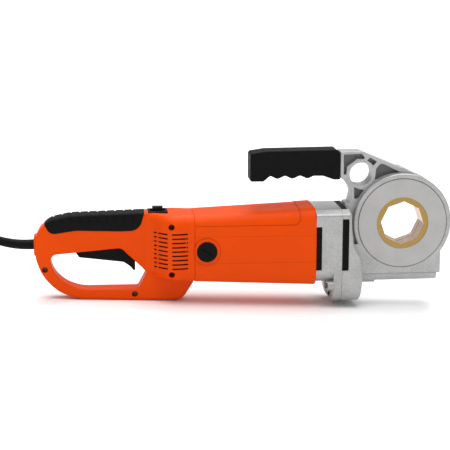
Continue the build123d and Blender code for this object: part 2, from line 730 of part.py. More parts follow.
def trough(half, low, radius):
    """The worm tube's section under the block, rounded at its bottom corners."""
    high = BLOCK_BOTTOM + 1
    return section(BLOCK_LEFT, [(-half, low, radius), (-half, high, 0), (half, high, 0), (half, low, radius)])


def gearcase_front():
    shell = case_prism(CASE_SPLIT, 200) & slab(CASE_SIDE, 60)
    front_rim = [e for e in shell.edges() if abs(e.center().Y) > CASE_HALF - 0.5 and e.center().X > 175]
    shell = soften(shell, front_rim, 4.0)
    wheel_house = pin(HEAD_X, HEAD_Z, HEAD_RADIUS, -HEAD_FRONT, HEAD_HALF)
    wheel_house = soften(wheel_house, wheel_house.edges().filter_by(GeomType.CIRCLE), 2.0)
    neck = slab([(165, 68, 0), (200, 72, 0), (230, 0, 0), (230, -52, 0), (165, -52, 0)], NECK_HALF)
    worm_block = block(BLOCK_LEFT, BLOCK_RIGHT, -HEAD_FRONT, HEAD_HALF, BLOCK_BOTTOM, 0)
    worm_block = soften(worm_block, worm_block.edges().group_by(Axis.Z)[0].sort_by(Axis.X)[-1:], 1.0)
    worm_tube = push(trough(TUBE_HALF, TUBE_BOTTOM, 12.0), TUBE_END - BLOCK_LEFT)
    worm_tube += rod(BLOCK_LEFT, BOSS_END, 17.5, WORM_Z)
    collar = push(trough(COLLAR_HALF, COLLAR_BOTTOM, 13.0), COLLAR_END - BLOCK_LEFT)
    case = shell + wheel_house + neck + worm_block + worm_tube + collar + head_arm()

    case -= gear_space(CASE_SPLIT - 1, GEAR_SPACE_END) & block(150, GEAR_SPACE_END, -60, 60, -200, 200)
    case -= rod(GEAR_SPACE_END - 1, COUNTER_FRONT[1] + 0.2, COUNTER_BORE, COUNTER_Z)
    case -= rod(GEAR_SPACE_END - 1, CASE_WALL, 13.0, WORM_Z)
    case -= rod(CASE_WALL, WORM_END + 1, WORM_BORE, WORM_Z)
    case -= rod(WORM_END - 1, BLOCK_RIGHT + 6, PLUG_SEAT, WORM_Z)
    cover_seat = -HEAD_FRONT + COVER_THICKNESS
    case -= pin(HEAD_X, HEAD_Z, WHEEL_SPACE, cover_seat, WHEEL_HALF + WASHER)
    case -= pin(HEAD_X, HEAD_Z, COVER_RADIUS, -HEAD_FRONT - 5, cover_seat)
    case -= pin(HEAD_X, HEAD_Z, HUB_RADIUS + SHAFT_PLAY, -40, 40)
    case -= window_sides() + window_top()
    case = bolts_through(case, 100, 174)
    group("gearcase_front", [max(case.solids(), key=lambda s: s.volume)])


# ---- black inserts behind the casting's windows ---------------------------------------------------
def window_sides():
    x0, x1 = INSERT_X
    z0, z1 = INSERT_Z
    right = block(x0 - 0.01, x1, -60, -INSERT_BACK, z0, z1)
    right = soften(right, [e for e in right.edges().filter_by(Axis.Y) if e.center().X > x1 - 1], 2.0)
    return right + mirror(right, Plane.XZ)


def window_top():
    x0, x1 = INSERT_X
    return block(x0 - 0.01, x1 - 1.0, -CHAMFER_Y, CHAMFER_Y, 57, 80)


def case_inserts():
    face = CASE_HALF - INSERT_DEPTH
    deeper = face - 1.2
    side_inserts = window_sides() & block(CASE_SPLIT, 180, -face, face, -100, 100)
    step = block(INSERT_X[0] + 4.4, 180, -60, 60, *INSERT_Z) - block(150, 190, -deeper, deeper, -100, 100)
    top = window_top() & block(CASE_SPLIT, 180, -40, 40, 50, CASE_TOP - INSERT_DEPTH)
    group("case_inserts", [side_inserts - step, top])


# ---- worm drive and spindle ------------------------------------------------------------------------
WORM_HALF_LENGTH = 27.0
WORM_ROOT = WORM_PITCH_RADIUS - 1.25 * WORM_MODULE
WORM_TIP = WORM_PITCH_RADIUS + WORM_MODULE
WORM_JOURNAL = 316.0
WORM_END = 324.0
NOSE_RADIUS = 6.0
PLUG_END = 336.8
KEYED_RADIUS = 8.0
KEY_HALF = 2.5
GEAR_SEAT = 152.0
BIG_GEAR = (152.5, 168.0)
COUNTER_GEAR = (124.5, 135.5)
COUNTER_PINION = (150.0, 169.5)
COUNTER_RADIUS = 7.0


def worm_thread(start_turn):
    """One start of the right-hand worm, its crest over the worm's top at X = HEAD_X when start_turn is 0."""
    tooth = pi * WORM_MODULE / 2 - WORM_BACKLASH / 2
    slope = tan(radians(20))
    height = 2 * WORM_HALF_LENGTH
    path = Helix(pitch=WORM_LEAD, height=height, radius=WORM_PITCH_RADIUS)
    lead_angle = atan2(WORM_LEAD, 2 * pi * WORM_PITCH_RADIUS)
    squeeze = cos(lead_angle)
    low = WORM_ROOT - 0.4 - WORM_PITCH_RADIUS
    high = WORM_TIP - WORM_PITCH_RADIUS
    wide = (tooth / 2 - low * slope) * squeeze
    narrow = (tooth / 2 - high * slope) * squeeze
    plane = Plane(origin=path @ 0, x_dir=(1, 0, 0), z_dir=path % 0)
    flanks = Polyline((low, -wide), (high, -narrow), (high, narrow), (low, wide), close=True)
    profile = make_face(plane * flanks)
    thread = sweep(profile, path=path, is_frenet=True)
    middle_turn = 360 * WORM_HALF_LENGTH / WORM_LEAD
    upright = Rot(0, 0, start_turn - middle_turn) * thread
    lying = Plane(origin=(HEAD_X - WORM_HALF_LENGTH, 0, WORM_Z), x_dir=(0, 0, 1), z_dir=(1, 0, 0))
    return lying.location * upright


def worm_drive():
    """The worm on its shaft, driven by the big gear through a key, with its bearings and end plug."""
    thread0, thread1 = HEAD_X - WORM_HALF_LENGTH, HEAD_X + WORM_HALF_LENGTH
    shaft = rod(GEAR_SEAT, WORM_SHOULDER, KEYED_RADIUS, WORM_Z)
    shaft += rod(WORM_SHOULDER, WORM_JOURNAL, 9.2, WORM_Z) + rod(WORM_JOURNAL, WORM_END, NOSE_RADIUS, WORM_Z)
    shaft += rod(thread0 - 3, thread1 + 3, WORM_ROOT, WORM_Z)
    keep = rod(thread0 + 2, thread1 - 2, WORM_TIP, WORM_Z)
    for start in range(WORM_STARTS):
        shaft += worm_thread(360 * start / WORM_STARTS) & keep
    keyway = (GEAR_SEAT + 1, BIG_GEAR[1] - 2, -KEY_HALF, KEY_HALF)
    group("worm_shaft", [shaft - block(*keyway, WORM_Z + 5.5, WORM_Z + 9)])
    group("gear_key", [block(*keyway, WORM_Z + 5.5, WORM_Z + 10.5)])
    gear0, gear1 = BIG_GEAR
    gear = gear_along_x(gear0, gear1, WORM_Z, WORM_GEAR_TEETH, COUNTER_MODULE, 0.7, 180 / WORM_GEAR_TEETH)
    gear -= rod(gear0 - 1, gear1 + 1, KEYED_RADIUS, WORM_Z)
    gear -= block(gear0 - 1, gear1 + 1, -KEY_HALF, KEY_HALF, WORM_Z, WORM_Z + 10.5)
    group("worm_gear", [gear - tube(gear0 - 1, gear0 + 2.5, 38, 16, WORM_Z)])
    rear_bore, front_bore = KEYED_RADIUS + SHAFT_PLAY, NOSE_RADIUS + SHAFT_PLAY
    group("worm_rear_bearing", bearing(CASE_WALL, WORM_SHOULDER, WORM_Z, rear_bore, WORM_BORE))
    group("worm_front_bearing", bearing(WORM_JOURNAL, WORM_END, WORM_Z, front_bore, WORM_BORE))
    plug = rod(WORM_END + 0.2, PLUG_END, PLUG_SEAT, WORM_Z)
    hexagon = Pos(PLUG_END, 0, WORM_Z) * Rot(0, 90, 0) * extrude(RegularPolygon(5, 6), amount=4, both=True)
    group("worm_end_plug", [plug - hexagon])


def countershaft():
    """The shaft between the motor's pinion and the worm's gear, with a pinion cut into it."""
    rear0, rear1 = COUNTER_REAR
    pinion0, pinion1 = COUNTER_PINION
    front0, front1 = COUNTER_FRONT
    gear0, gear1 = COUNTER_GEAR
    shaft = rod(rear0, gear0 - 0.5, JOURNAL_RADIUS, COUNTER_Z)
    shaft += rod(gear0 - 0.5, pinion0, COUNTER_RADIUS, COUNTER_Z)
    shaft += gear_along_x(pinion0, pinion1, COUNTER_Z, COUNTER_PINION_TEETH, COUNTER_MODULE, 0.9, 0)
    shaft += rod(pinion1, front0 - 0.2, COUNTER_RADIUS, COUNTER_Z)
    shaft += rod(front0 - 0.2, front1, JOURNAL_RADIUS, COUNTER_Z)
    group("countershaft", [shaft])
    turn = 180 / MOTOR_GEAR_TEETH
    gear = gear_along_x(gear0, gear1, COUNTER_Z, MOTOR_GEAR_TEETH, MOTOR_MODULE, 0.6, turn)
    group("countershaft_gear", [gear - rod(gear0 - 1, gear1 + 1, COUNTER_RADIUS, COUNTER_Z)])
    bore = JOURNAL_RADIUS + SHAFT_PLAY
    group("countershaft_rear_bearing", bearing(rear0, rear1, COUNTER_Z, bore, COUNTER_BORE))
    group("countershaft_front_bearing", bearing(front0, front1, COUNTER_Z, bore, COUNTER_BORE))


def wheel_section(y, turn):
    plane = Plane(origin=(HEAD_X, y, HEAD_Z), x_dir=(0, 0, -1), z_dir=(0, 1, 0))
    points = gear_points(WHEEL_TEETH, WORM_MODULE, 0.9, WORM_BACKLASH)
    return plane * Rot(0, 0, turn) * make_face(Polyline(*points, close=True))


def spindle():
    """The worm wheel and die-head socket, in one bronze piece, and what guides it."""
    half_pitch = 180 / WHEEL_TEETH
    twist = degrees(WORM_MODULE * WORM_STARTS / 2 / WORM_PITCH_RADIUS * WHEEL_HALF / WHEEL_PITCH_RADIUS)
    turns = [(-WHEEL_HALF, half_pitch - twist), (0, half_pitch), (WHEEL_HALF, half_pitch + twist)]
    wheel = loft([wheel_section(y, turn) for y, turn in turns], ruled=True)
    wheel += pin(HEAD_X, HEAD_Z, HUB_RADIUS, HUB_FRONT, HUB_REAR)
    socket = Plane(origin=(HEAD_X, 0, HEAD_Z), x_dir=(1, 0, 0), z_dir=(0, -1, 0))
    flats = OCTAGON_FLATS / 2
    octagon = socket * RegularPolygon(flats, 8, major_radius=False, rotation=-3.5)
    groove = socket * RegularPolygon(flats + 1.2, 8, major_radius=False, rotation=-3.5)
    wheel -= extrude(octagon, amount=60, both=True)
    wheel -= Pos(0, -1, 0) * extrude(groove, amount=0.9, both=True)
    group("worm_wheel", [wheel])
    cover_back = -HEAD_FRONT + COVER_THICKNESS
    bore = HUB_RADIUS + SHAFT_PLAY
    cover = ring(HEAD_X, HEAD_Z, COVER_RADIUS, bore, -HEAD_FRONT - COVER_PROUD, cover_back)
    cover = soften(cover, cover.faces().sort_by(Axis.Y)[0].edges(), 0.7)
    group("head_cover", [cover])
    washer = (HEAD_X, HEAD_Z, 56.5, HUB_RADIUS + 0.4)
    front = ring(*washer, cover_back, -WHEEL_HALF - 0.3)
    rear = ring(*washer, WHEEL_HALF + 0.3, WHEEL_HALF + WASHER)
    group("thrust_washers", [front, rear])


# ---- top handle ------------------------------------------------------------------------------------
TOP_HANDLE = [
    (9.8, 108.4, 3),
    (31.8, 108.2, 2),
    (43.5, 117.6, 4),
    (55.4, 111.6, 9),
    (68.0, 117.6, 6),
    (80.6, 111.6, 9),
    (93.4, 117.6, 6),
    (106.0, 111.6, 9),
    (116.0, 116.4, 6),
    (132.0, 116.2, 10),
    (150.0, 109.6, 5),
    (161.4, 109.4, 2),
    (161.4, 152.0, 2),
    (155.0, 160.2, 5),
    (36.0, 159.2, 20),
    (9.8, 155.4, 5),
]
TOP_HANDLE_HALF = 20.0
CORE_START = 24.0


def top_handle():
    """A moulded grip over a flat steel core, whose stud screws into the bracket arm."""
    grip = slab(TOP_HANDLE, TOP_HANDLE_HALF)
    grip = soften(grip, side_edges(grip), 2.2)
    tongue = block(CORE_START, ARM_FACE, -7, 7, STUD_Z - 10, STUD_Z + 10)
    tongue = soften(tongue, tongue.edges().filter_by(Axis.X), 2)
    group("top_handle", [grip - tongue])
    group("handle_core", [tongue + rod(ARM_FACE - 1, STUD_END, STUD_RADIUS, STUD_Z)])


# ---- bolts -----------------------------------------------------------------------------------------
def fasteners():
    bolts = []
    for y, z in BOLT_PLACES[2:]:
        bolt = rod(132.6, 137.0, 4.6, z, y) + rod(137.0, 173.5, BOLT_RADIUS, z, y)
        bolts.append(bolt - rod(132.0, 134.8, 2.2, z, y))
    group("case_bolts", bolts)
    group("case_studs", [rod(122, 173.5, BOLT_RADIUS, z, y) for y, z in BOLT_PLACES[:2]])
    edge = case_section(CASE_SPLIT - GASKET, CASE_TOP - 0.3, CASE_BOTTOM + 0.3, CASE_HALF - 0.3)
    plate = push(edge, GASKET)
    gasket = bolts_through(plate, 150, 170) - gear_space(150, 172)
    group("case_gasket", [gasket])


# ---- wiring in the handle --------------------------------------------------------------------------
CLAMP_X = -313.0
CAPACITOR_RADIUS = 12.5
BOARD = (-158.0, -98.0, -13.5, -12.0, -32.9, 32.0)


def wiring():
    clamp_top = CORD_Z + 9
    clamp = block(CLAMP_X - 4, CLAMP_X + 4, -13.5, 13.5, CORD_Z + 5.2, clamp_top)
    clamp_screws = [Pos(CLAMP_X, y, clamp_top + 1.25) * Cylinder(3.0, 2.5) for y in (-9, 9)]
    group("cord_clamp", [clamp] + clamp_screws)
    group("terminal_block", [block(-200, -176, -10, 10, 32, 44)])
    can = rod(-130, -103, CAPACITOR_RADIUS, 5, 22)
    group("wiring_board", [block(*BOARD)])
    group("capacitor", [soften(can, can.edges().filter_by(GeomType.CIRCLE), 1.5)])


# ---- supply cord, in the resting frame ---------------------------------------------------------------
CORD_DIAMETER = 10.0
BOOT_PATH = [(-349.8, 6.4), (-372.0, 6.6), (-392.0, 9.6), (-409.0, 14.2)]
BOOT_START_RADIUS = 8.4
BOOT_END_RADIUS = 7.4
COIL_X = -628.0
COIL_Y = 23.0
COIL_MIDDLE = 57.0
COIL_HALF_WIDTH = 20.0
COIL_HEIGHT = 21.0


def resting(x, z):
    """A point of the tool's middle plane in the resting frame."""
    t = radians(REST_TILT)
    return (x * cos(t) - z * sin(t) + REST_SHIFT, 0.0, x * sin(t) + z * cos(t) + REST_LIFT)


def route_radii(points):
    """Each corner's radius: 0.45 of its shorter run, divided by the tangent of half its turn."""
    radii = []
    for before, here, after in zip(points, points[1:], points[2:]):
        a, b = Vector(*here) - Vector(*before), Vector(*after) - Vector(*here)
        radii.append(0.45 * min(a.length, b.length) / tan(radians(a.get_angle(b)) / 2))
    return radii


def cord_tube(name, points):
    radii = route_radii(points)
    path = FilletPolyline(*points, radius=radii)
    start = Plane(origin=path @ 0, z_dir=path % 0)
    tube_solid = sweep(start * Circle(CORD_DIAMETER / 2), path=path)
    expected = pi * CORD_DIAMETER ** 2 / 4 * path.length
    print(name, "radii", [round(r) for r in radii], "length", round(path.length), "volume ratio",
          round(tube_solid.volume / expected, 4))
    nodes[name] = tube_solid


PLUG_X = -524.0
PLUG_Y = 97.5
PLUG_Z = 17.2
PLUG_RADIUS = 17.0
ROUTE_FALL = [
    (-445, 0, 103.9),
    (-484, -3, 96),
    (-514, -12, 66),
    (-537, -25, 30),
    (-566, -40, 5.2),
    (-606, -48.6, 5.2),
]
ROUTE_TAIL = [
    (-610, 95, 15.2),
    (-589, 95.3, 11),
    (-567, 96.5, 11.6),
    (-545, 97.5, 17.2),
    (PLUG_X, PLUG_Y, PLUG_Z),
]
PIN_SPACING = 19.0


def strain_relief():
    boot = rod(-349.8, -328, BOOT_START_RADIUS, CORD_Z)
    boot -= tube(-340, -334, 12, 7.4, CORD_Z)
    last = len(BOOT_PATH) - 1
    faces = []
    for i, (x, z) in enumerate(BOOT_PATH):
        near, far = BOOT_PATH[max(i - 1, 0)], BOOT_PATH[min(i + 1, last)]
        along = Vector(-1, 0, 0) if i == 0 else Vector(far[0] - near[0], 0, far[1] - near[1])
        share = i / last
        radius = BOOT_START_RADIUS + (BOOT_END_RADIUS - BOOT_START_RADIUS) * share
        faces.append(Plane(origin=(x, 0, z), x_dir=(0, 1, 0), z_dir=along) * Circle(radius))
    group("strain_relief", [boot + loft(faces)])
    group("inner_lead", [rod(-328, -304, CORD_DIAMETER / 2, CORD_Z)])


def supply_cord():
    """The free cord: down to the floor, wound into a coil, and on to its plug."""
    cord_tube("power_cord", [resting(*BOOT_PATH[-1])] + ROUTE_FALL)
    cord_tube("cord_tail", ROUTE_TAIL)
    winding = Rot(90, 0, 0) * RectangleRounded(2 * COIL_HALF_WIDTH, COIL_HEIGHT, CORD_DIAMETER / 2)
    coil = revolve(Pos(COIL_MIDDLE, 0, COIL_HEIGHT / 2) * winding, Axis.Z)
    nodes["cord_coil"] = Pos(COIL_X, COIL_Y, 0) * coil
    profile = [(0, 0), (0, 6.5), (18, 8.0), (24, 13), (30, PLUG_RADIUS), (56, PLUG_RADIUS), (56, 0)]
    half = make_face(Plane.XY * Polyline(*profile, close=True))
    plug = revolve(half, Axis.X)
    plug = soften(plug, plug.edges().filter_by(GeomType.CIRCLE).group_by(Axis.X)[-1], 2)
    nodes["plug_body"] = Pos(PLUG_X, PLUG_Y, PLUG_Z) * plug
    pins = [rod(PLUG_X + 56, PLUG_X + 75, 2.4, PLUG_Z, PLUG_Y + side * PIN_SPACING / 2) for side in (-1, 1)]
    nodes["plug_pins"] = Compound(children=[s for p in pins for s in p.solids()])


def build():
    rear_housing()
    trigger_and_switch()
    reversing()
    motor_housing()
    brush_gear()
    motor()
    gearcase_rear()
    gearcase_front()
    case_inserts()
    worm_drive()
    countershaft()
    spindle()
    top_handle()
    fasteners()
    wiring()
    strain_relief()
    for name in nodes:
        nodes[name] = stand(nodes[name])
    supply_cord()
    os.makedirs("parts", exist_ok=True)
    for name, shape in nodes.items():
        export_step(shape, f"parts/{name}.step")


build()
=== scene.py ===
"""Looks of the hand-held pipe threading machine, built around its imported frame.

Metres, in the row frame. The tool frame, X along the motor barrel towards the die head, Y to the
operator's left and Z up, is found again from the joints: place() carries its points, in
millimetres, into the row frame. Sizes below are in millimetres unless they say otherwise.
"""

import json
from math import cos, pi, radians, sin

import bmesh
import bpy
from mathutils import Matrix, Vector


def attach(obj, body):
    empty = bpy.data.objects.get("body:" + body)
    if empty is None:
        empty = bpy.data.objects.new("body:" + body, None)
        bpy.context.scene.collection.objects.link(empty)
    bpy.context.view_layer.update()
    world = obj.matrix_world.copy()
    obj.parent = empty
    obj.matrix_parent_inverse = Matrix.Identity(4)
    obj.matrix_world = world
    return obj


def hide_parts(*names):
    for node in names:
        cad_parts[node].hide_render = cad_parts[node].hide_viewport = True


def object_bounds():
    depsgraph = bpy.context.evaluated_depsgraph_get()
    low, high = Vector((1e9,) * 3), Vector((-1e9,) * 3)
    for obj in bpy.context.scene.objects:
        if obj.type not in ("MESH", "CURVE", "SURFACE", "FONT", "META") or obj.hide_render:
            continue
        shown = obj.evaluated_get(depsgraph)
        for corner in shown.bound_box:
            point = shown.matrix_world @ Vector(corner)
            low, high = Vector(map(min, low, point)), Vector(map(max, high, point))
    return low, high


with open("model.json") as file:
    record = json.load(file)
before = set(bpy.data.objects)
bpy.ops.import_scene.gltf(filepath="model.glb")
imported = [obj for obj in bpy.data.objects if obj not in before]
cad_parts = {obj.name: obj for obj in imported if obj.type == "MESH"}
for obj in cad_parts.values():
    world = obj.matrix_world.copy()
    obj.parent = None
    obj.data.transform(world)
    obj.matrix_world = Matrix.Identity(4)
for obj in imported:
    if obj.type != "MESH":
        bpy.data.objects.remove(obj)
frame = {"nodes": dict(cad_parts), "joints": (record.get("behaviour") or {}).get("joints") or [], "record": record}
cad_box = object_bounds()
nodes = frame["nodes"]
joints = {joint["name"]: joint for joint in frame["joints"]}
MM = 0.001

# ---- the tool frame, found from the joints -----------------------------------------------------
HEAD_X = 267.0
HEAD_Z = 35.0
along = Vector(joints["armature_spin"]["axis"])
upward = along.cross(Vector((0, 1, 0)))
spindle = Vector(joints["spindle_spin"]["pos_m"])
tool_origin = spindle - (HEAD_X * along + HEAD_Z * upward) * MM
TOOL = Matrix.Translation(tool_origin) @ Matrix((along, (0, 1, 0), upward)).transposed().to_4x4()


def place(x, y, z):
    """A point of the tool frame, in millimetres, as a point of the row frame."""
    return TOOL @ (Vector((x, y, z)) * MM)


# ---- camera ------------------------------------------------------------------------------------
CAMERA_TARGET = (-30.5, 0.0, 32.0)
CAMERA_DISTANCE = 2302.0
CAMERA_PITCH = radians(12.0)
CAMERA_YAW = radians(5.8)
FOCAL_LENGTH = 109.44
SENSOR_WIDTH = 36.0
FARTHEST_SEEN = 100.0  # metres


def make_camera():
    data = bpy.data.cameras.new("camera")
    data.lens = FOCAL_LENGTH
    data.sensor_width = SENSOR_WIDTH
    data.clip_end = FARTHEST_SEEN
    camera = bpy.data.objects.new("camera", data)
    bpy.context.scene.collection.objects.link(camera)
    level = Vector((sin(CAMERA_YAW), cos(CAMERA_YAW), 0))
    ahead = level * cos(CAMERA_PITCH) - Vector((0, 0, sin(CAMERA_PITCH)))
    right = Vector((cos(CAMERA_YAW), -sin(CAMERA_YAW), 0))
    turned = Matrix((right, right.cross(ahead), -ahead)).transposed().to_4x4()
    where = (Vector(CAMERA_TARGET) - ahead * CAMERA_DISTANCE) * MM
    camera.matrix_world = TOOL @ Matrix.Translation(where) @ turned
    bpy.context.scene.camera = camera


# ---- materials ---------------------------------------------------------------------------------
NOISE_LOW = 0.3  # nearly all noise lies between these two values
NOISE_HIGH = 0.7
LINE_FADE = 1.6  # a painted line has faded out at this many half widths

# Where the tool frame has lines that the materials follow.
SEAM_X = -84.6  # from the rear housings to the barrel
PANEL_END = 90.0  # the barrel's lowered top panel
PANEL_EDGE = 40.5
PANEL_CORNER = 11.0
BAND_Z = 22.5  # the barrel's side bands, above and below its middle
BRUSH = (-65.3, -2.0)  # X and Z of the brush caps
BOSS_RADIUS = 22.5
COVER_RADIUS = 75.6
BLOCK_BOTTOM = -52.0  # the ledge under the head
BLOCK_LEFT = 197.0
POCKET_FLOOR = 9.5  # the floors of the arm's pockets lie nearer than this to the middle plane


def linear(red, green, blue):
    """A colour given as 0 to 255 sRGB values, as linear light."""
    channels = [v / 255 for v in (red, green, blue)]
    return tuple(c / 12.92 if c <= 0.04045 else ((c + 0.055) / 1.055) ** 2.4 for c in channels) + (1.0,)


def scaled(colour, factor):
    return tuple(min(1.0, c * factor) for c in colour[:3]) + (1.0,)


class Look:
    """A principled material with helpers that add its procedural detail."""

    def __init__(self, name, colour, roughness, metallic=0.0, specular=0.5):
        self.material = bpy.data.materials.new(name)
        self.material.use_nodes = True
        self.tree = self.material.node_tree
        self.shader = self.tree.nodes["Principled BSDF"]
        self.coords = self.tree.nodes.new("ShaderNodeTexCoord")
        self.colour = colour
        self.roughness = roughness
        self.normal = None
        self.shader.inputs["Base Color"].default_value = colour
        self.shader.inputs["Roughness"].default_value = roughness
        self.shader.inputs["Metallic"].default_value = metallic
        self.shader.inputs["Specular IOR Level"].default_value = specular

    def link(self, output, socket):
        self.tree.links.new(output, socket)

    def feed(self, value, socket):
        """Gives the socket a constant, or links it to an output."""
        if isinstance(value, (int, float, tuple)):
            socket.default_value = value
        else:
            self.link(value, socket)

    def noise(self, size, detail=2.0, stretch=(1, 1, 1)):
        """Noise whose features are about size millimetres across."""
        mapping = self.tree.nodes.new("ShaderNodeMapping")
        mapping.inputs["Scale"].default_value = stretch
        texture = self.tree.nodes.new("ShaderNodeTexNoise")
        texture.inputs["Scale"].default_value = 1 / (size * MM)
        texture.inputs["Detail"].default_value = detail
        self.link(self.coords.outputs["Object"], mapping.inputs["Vector"])
        self.link(mapping.outputs["Vector"], texture.inputs["Vector"])
        return texture.outputs["Fac"]

    def ramp(self, value, low, high, first=0.0, last=1.0):
        """The value spread from first at low to last at high."""
        spread = self.tree.nodes.new("ShaderNodeMapRange")
        spread.inputs["From Min"].default_value = low
        spread.inputs["From Max"].default_value = high
        spread.inputs["To Min"].default_value = first
        spread.inputs["To Max"].default_value = last
        self.link(value, spread.inputs["Value"])
        return spread.outputs["Result"]

    def cloud(self, size, detail=2.0):
        """Noise that uses the whole range from 0 to 1."""
        return self.ramp(self.noise(size, detail), NOISE_LOW, NOISE_HIGH)

    def math(self, operation, *values):
        """The result of a Math node's operation on constants or outputs."""
        node = self.tree.nodes.new("ShaderNodeMath")
        node.operation = operation
        for socket, value in zip(node.inputs, values):
            self.feed(value, socket)
        return node.outputs["Value"]

    def mix(self, share, low, high, blend_type="MIX"):
        """A colour from low to high by share; each is a constant or an output."""
        node = self.tree.nodes.new("ShaderNodeMix")
        node.data_type = "RGBA"
        node.blend_type = blend_type
        for name, value in (("Factor", share), ("A", low), ("B", high)):
            self.feed(value, node.inputs[name])
        return node.outputs["Result"]

    def shade(self, colour, mask, factor):
        """The colour, darkened by factor where the mask is 1."""
        return self.mix(mask, colour, (factor, factor, factor, 1.0), "MULTIPLY")

    def parts(self, vector):
        """The X, Y and Z of a vector output."""
        split = self.tree.nodes.new("ShaderNodeSeparateXYZ")
        self.link(vector, split.inputs["Vector"])
        return split.outputs

    def tool_point(self):
        """The shaded point's X, Y and Z in the tool frame, in millimetres."""
        back = TOOL.inverted()
        mapping = self.tree.nodes.new("ShaderNodeMapping")
        mapping.inputs["Location"].default_value = back.translation / MM
        mapping.inputs["Rotation"].default_value = back.to_euler()
        mapping.inputs["Scale"].default_value = (1 / MM, 1 / MM, 1 / MM)
        self.link(self.coords.outputs["Object"], mapping.inputs["Vector"])
        return self.parts(mapping.outputs["Vector"])

    def sideways(self):
        """How squarely the surface faces either side of the tool, from 0 to 1."""
        return self.math("ABSOLUTE", self.parts(self.coords.outputs["Normal"])["Y"])

    def length(self, across, up):
        """The length of a step of across and up."""
        squares = [self.math("MULTIPLY", side, side) for side in (across, up)]
        return self.math("SQRT", self.math("ADD", *squares))

    def away(self, point, x, z):
        """The distance from the line across the tool at x and z."""
        return self.length(self.math("SUBTRACT", point["X"], x), self.math("SUBTRACT", point["Z"], z))

    def beyond(self, value, edge):
        """How far the value is past the edge, or 0 before it; each is a constant or an output."""
        return self.math("MAXIMUM", self.math("SUBTRACT", value, edge), 0)

    def line(self, distance, middle, half_width):
        """1 where the distance is within half_width of middle, fading out beside it."""
        off = self.math("ABSOLUTE", self.math("SUBTRACT", distance, middle))
        return self.ramp(off, LINE_FADE * half_width, half_width)

    def paint(self, output):
        self.link(output, self.shader.inputs["Base Color"])
        return self

    def mottle(self, size, amount, detail=3.0):
        """Soft variation of the colour, amount each way."""
        share = self.cloud(size, detail)
        return self.mix(share, scaled(self.colour, 1 - amount), scaled(self.colour, 1 + amount))

    def gloss(self, size, amount):
        """Variation of the roughness, amount each way."""
        smooth, rough = self.roughness - amount, self.roughness + amount
        varied = self.ramp(self.noise(size), NOISE_LOW, NOISE_HIGH, smooth, rough)
        self.link(varied, self.shader.inputs["Roughness"])
        return self

    def bump(self, height_output, height):
        """Raises the surface by height millimetres where the output is 1."""
        node = self.tree.nodes.new("ShaderNodeBump")
        node.inputs["Strength"].default_value = 1.0
        node.inputs["Distance"].default_value = height * MM
        self.link(height_output, node.inputs["Height"])
        if self.normal:
            self.link(self.normal, node.inputs["Normal"])
        self.normal = node.outputs["Normal"]
        self.link(self.normal, self.shader.inputs["Normal"])
        return self


def orange_plastic():
    """Moulded nylon; painted shade darkens the edges of the barrel's panel, its side bands and the brush bosses.
    """
    look = Look("orange_plastic", linear(222, 71, 2), 0.4, specular=0.07)
    point = look.tool_point()
    on_barrel = look.math("GREATER_THAN", point["X"], SEAM_X)
    past_end = look.beyond(point["X"], PANEL_END - PANEL_CORNER)
    under_edge = look.beyond(PANEL_EDGE + PANEL_CORNER, point["Z"])
    # Painted shade lines follow the steps at the panel's edge, the side bands and the rims of the brush bosses.
    panel = look.line(look.length(past_end, under_edge), PANEL_CORNER, half_width=0.45)
    band = look.line(look.math("ABSOLUTE", point["Z"]), BAND_Z, half_width=0.4)
    from_brush = look.away(point, *BRUSH)
    boss = look.line(from_brush, BOSS_RADIUS, half_width=0.5)
    off_boss = look.math("GREATER_THAN", from_brush, BOSS_RADIUS)
    band_shade_mask = look.math("MULTIPLY", look.math("MULTIPLY", band, on_barrel), off_boss)
    # The three lines of painted shade darken the mottled colour.
    colour = look.shade(look.mottle(60, 0.03), look.math("MULTIPLY", panel, on_barrel), factor=0.62)
    colour = look.shade(colour, band_shade_mask, factor=0.84)
    colour = look.shade(colour, boss, factor=0.72)
    look.paint(colour).gloss(14, 0.05)
    return look.bump(look.noise(0.9, 3), 0.02)


def black_rubber(name, grain):
    look = Look(name, linear(11, 11, 11), 0.6, specular=0.1)
    look.paint(look.mottle(9, 0.12)).gloss(6, 0.07)
    return look.bump(look.noise(grain, 4), 0.05)


def black_plastic():
    look = Look("black_plastic", linear(10, 10, 10), 0.5, specular=0.09)
    look.paint(look.mottle(20, 0.08)).gloss(8, 0.05)
    return look.bump(look.noise(0.8, 3), 0.02)


def cast_aluminium():
    """Shot-blasted casting with a fine grain, and painted shade on the floors of the arm's pockets.

    A dark line follows the seat of the head's cover, and a line of painted shade follows the ledge under the head.
    """
    look = Look("cast_aluminium", linear(190, 190, 190), 0.46, 0.55)
    grain = look.ramp(look.noise(1.5, 5), 0.32, 0.68)
    fine = look.mix(grain, linear(146, 146, 145), linear(190, 190, 190))
    broad = look.mix(look.cloud(28, 3), linear(152, 152, 151), linear(186, 186, 186))
    skin = look.mix(0.35, fine, broad)
    # Painted shade: the floors of the arm's pockets take this darker colour.
    pocket_shade = look.mix(grain, linear(84, 85, 86), linear(112, 113, 114))
    off_middle = look.math("ABSOLUTE", look.parts(look.coords.outputs["Object"])["Y"])
    deep = look.math("LESS_THAN", off_middle, POCKET_FLOOR * MM)
    flat = look.math("GREATER_THAN", look.sideways(), 0.8)
    point = look.tool_point()
    seat = look.line(look.away(point, HEAD_X, HEAD_Z), COVER_RADIUS, half_width=0.7)
    # Painted shade: a dark line along the ledge under the head.
    under_head = look.math("GREATER_THAN", point["X"], BLOCK_LEFT)
    ledge = look.math("MULTIPLY", look.line(point["Z"], BLOCK_BOTTOM, half_width=0.6), under_head)
    colour = look.mix(look.math("MULTIPLY", deep, flat), skin, pocket_shade)
    colour = look.shade(colour, seat, factor=0.4)
    look.paint(look.shade(colour, ledge, factor=0.5)).gloss(3, 0.08)
    return look.bump(look.noise(0.8, 4), 0.06)


